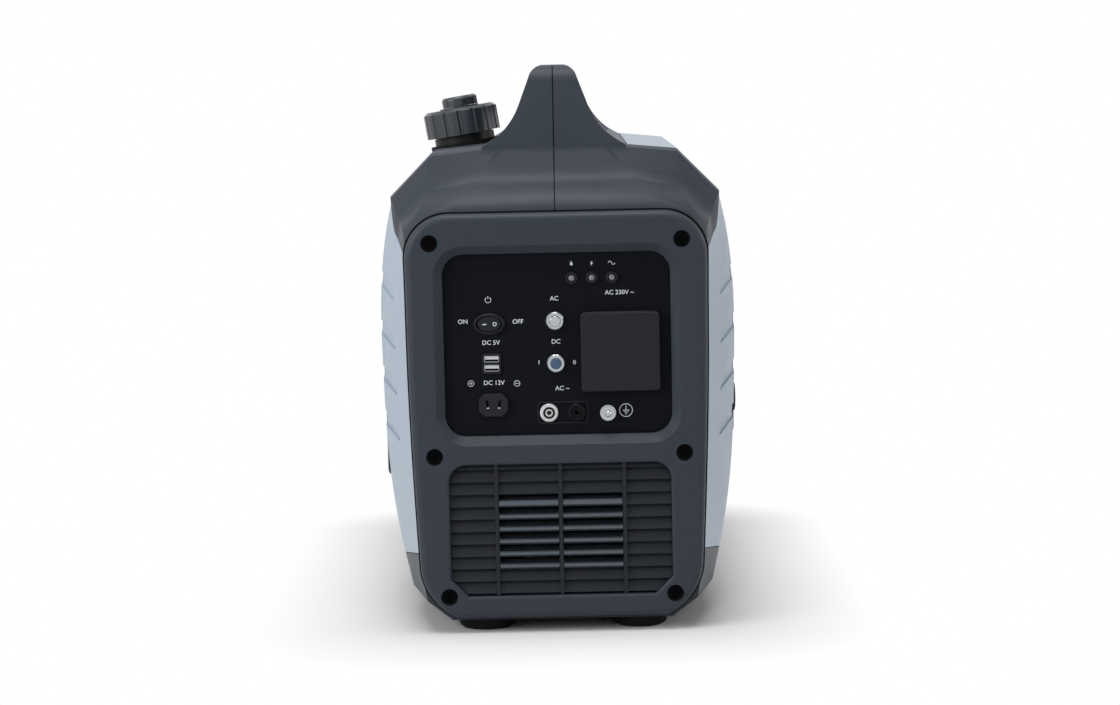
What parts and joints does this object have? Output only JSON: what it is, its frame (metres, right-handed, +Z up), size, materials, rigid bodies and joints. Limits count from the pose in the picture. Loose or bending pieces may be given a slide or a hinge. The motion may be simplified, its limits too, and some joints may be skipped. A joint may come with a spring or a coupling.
{
  "type": "portable inverter generator",
  "caption": "Suitcase inverter generator with a handle shroud, pale side panels, front control panel over a louvred grille, screw fuel cap and recoil starter.",
  "frame": {"origin": "on the floor under the middle of the generator", "axes": "+Z up, the control panel faces -Y, +X to the right of someone facing the panel"},
  "size_m": [0.3, 0.51, 0.46],
  "materials": {
    "dark_shroud": "satin moulded plastic",
    "pale_panel": "satin moulded plastic",
    "black_plastic": "fine-textured plastic",
    "panel_black": "fine-textured plate",
    "black_rubber": "moulded rubber",
    "lamp_lens": "clear grey lens",
    "white_plastic": "gloss plastic",
    "blue_plastic": "gloss plastic",
    "plated_steel": "bright plated",
    "steel": "machined",
    "cast_aluminium": "cast",
    "tank_plastic": "blow-moulded plastic",
    "rope": "braided rope"
  },
  "bodies": {
    "generator": {"handle_shroud_left": "dark_shroud", "handle_shroud_right": "dark_shroud", "left_side_panel": "pale_panel", "right_side_panel": "pale_panel", "base_tray": "dark_shroud", "rubber_feet": "black_rubber", "front_bezel": "dark_shroud", "bezel_screws": "steel", "front_grille": "dark_shroud", "control_panel": "panel_black", "lamp_rings": "black_plastic", "lamp_lenses": "lamp_lens", "rocker_frame": "black_plastic", "ac_breaker_bush": "plated_steel", "dc_breaker_bush": "plated_steel", "usb_socket": "black_plastic", "dc_socket": "black_plastic", "parallel_frame": "black_plastic", "parallel_socket_live": "white_plastic", "parallel_socket_neutral": "black_plastic", "earth_stud": "plated_steel", "earth_washer": "plated_steel", "earth_nut": "plated_steel", "ac_socket": "black_plastic", "lid_hinge_pin": "steel", "rear_cover": "dark_shroud", "rear_cover_screws": "steel", "fuel_tank": "tank_plastic", "filler_collar": "black_rubber", "dial_seat": "black_plastic", "grip_cup": "black_plastic", "side_vent_insert": "black_plastic", "crankcase": "cast_aluminium", "cylinder": "cast_aluminium", "head_cover": "cast_aluminium", "stator": "steel", "starter_housing": "black_plastic", "carburettor": "cast_aluminium", "air_filter_box": "black_plastic", "fuel_hose": "black_rubber", "spark_plug": "plated_steel", "muffler": "steel", "tail_pipe": "steel", "inverter_module": "cast_aluminium", "engine_mounts": "black_rubber"},
    "fuel_cap_seal": {"fuel_cap_gasket": "black_rubber"},
    "fuel_cap": {"fuel_cap": "black_plastic"},
    "vent_knob": {"vent_knob": "black_plastic"},
    "rocker_key": {"rocker_key": "black_plastic"},
    "ac_button": {"ac_breaker_button": "white_plastic"},
    "dc_button": {"dc_breaker_button": "blue_plastic"},
    "ac_lid": {"ac_socket_lid": "black_plastic"},
    "starter": {"starter_grip": "black_rubber", "starter_rope": "rope"},
    "starter_pulley": {"starter_pulley": "black_plastic"},
    "crank": {"crankshaft": "steel", "rotor_drum": "steel", "cooling_fan": "black_plastic"},
    "engine_dial": {"engine_dial": "black_plastic"}
  },
  "joints": [
    {"name": "fuel_cap_lift", "type": "slide", "parent": "generator", "child": "fuel_cap_seal", "axis": [-0.1564, 0, 0.9877], "range_m": [0, 0.07]},
    {"name": "fuel_cap_turn", "type": "hinge", "parent": "fuel_cap_seal", "child": "fuel_cap", "pos_m": [-0.0775, -0.06, 0.392], "axis": [-0.1564, 0, 0.9877], "continuous": true},
    {"name": "vent_turn", "type": "hinge", "parent": "fuel_cap", "child": "vent_knob", "pos_m": [-0.0775, -0.06, 0.392], "axis": [-0.1564, 0, 0.9877], "range_deg": [0, 90]},
    {"name": "rocker_tip", "type": "hinge", "parent": "generator", "child": "rocker_key", "pos_m": [-0.055, -0.2451, 0.2525], "axis": [0, 0, 1], "range_deg": [-16, 0]},
    {"name": "ac_button_press", "type": "slide", "parent": "generator", "child": "ac_button", "axis": [0, 1, 0], "range_m": [0, 0.0025], "stiffness_N_per_m": 800},
    {"name": "dc_button_press", "type": "slide", "parent": "generator", "child": "dc_button", "axis": [0, 1, 0], "range_m": [0, 0.0025], "stiffness_N_per_m": 800},
    {"name": "ac_lid_open", "type": "hinge", "parent": "generator", "child": "ac_lid", "pos_m": [0.0508, -0.2468, 0.2596], "axis": [-1, 0, 0], "range_deg": [0, 95], "stiffness_Nm_per_rad": 0.02, "springref_deg": -11.46},
    {"name": "starter_pull", "type": "slide", "parent": "generator", "child": "starter", "axis": [1, 0, 0], "range_m": [0, 0.12], "stiffness_N_per_m": 60, "springref_m": -0.1},
    {"name": "starter_pulley_turn", "type": "hinge", "parent": "generator", "child": "starter_pulley", "pos_m": [0, -0.11, 0.135], "axis": [0, 1, 0], "range_deg": [0, 180]},
    {"name": "crank_spin", "type": "hinge", "parent": "generator", "child": "crank", "pos_m": [0, 0, 0.135], "axis": [0, 1, 0], "continuous": true},
    {"name": "engine_dial_turn", "type": "hinge", "parent": "generator", "child": "engine_dial", "pos_m": [0.147, -0.06, 0.298], "axis": [1, 0, 0], "range_deg": [0, 90]}
  ],
  "couplings": [
    {"joint": "starter_pulley_turn", "follows": "starter_pull", "rad_per_m": 25}
  ]
}
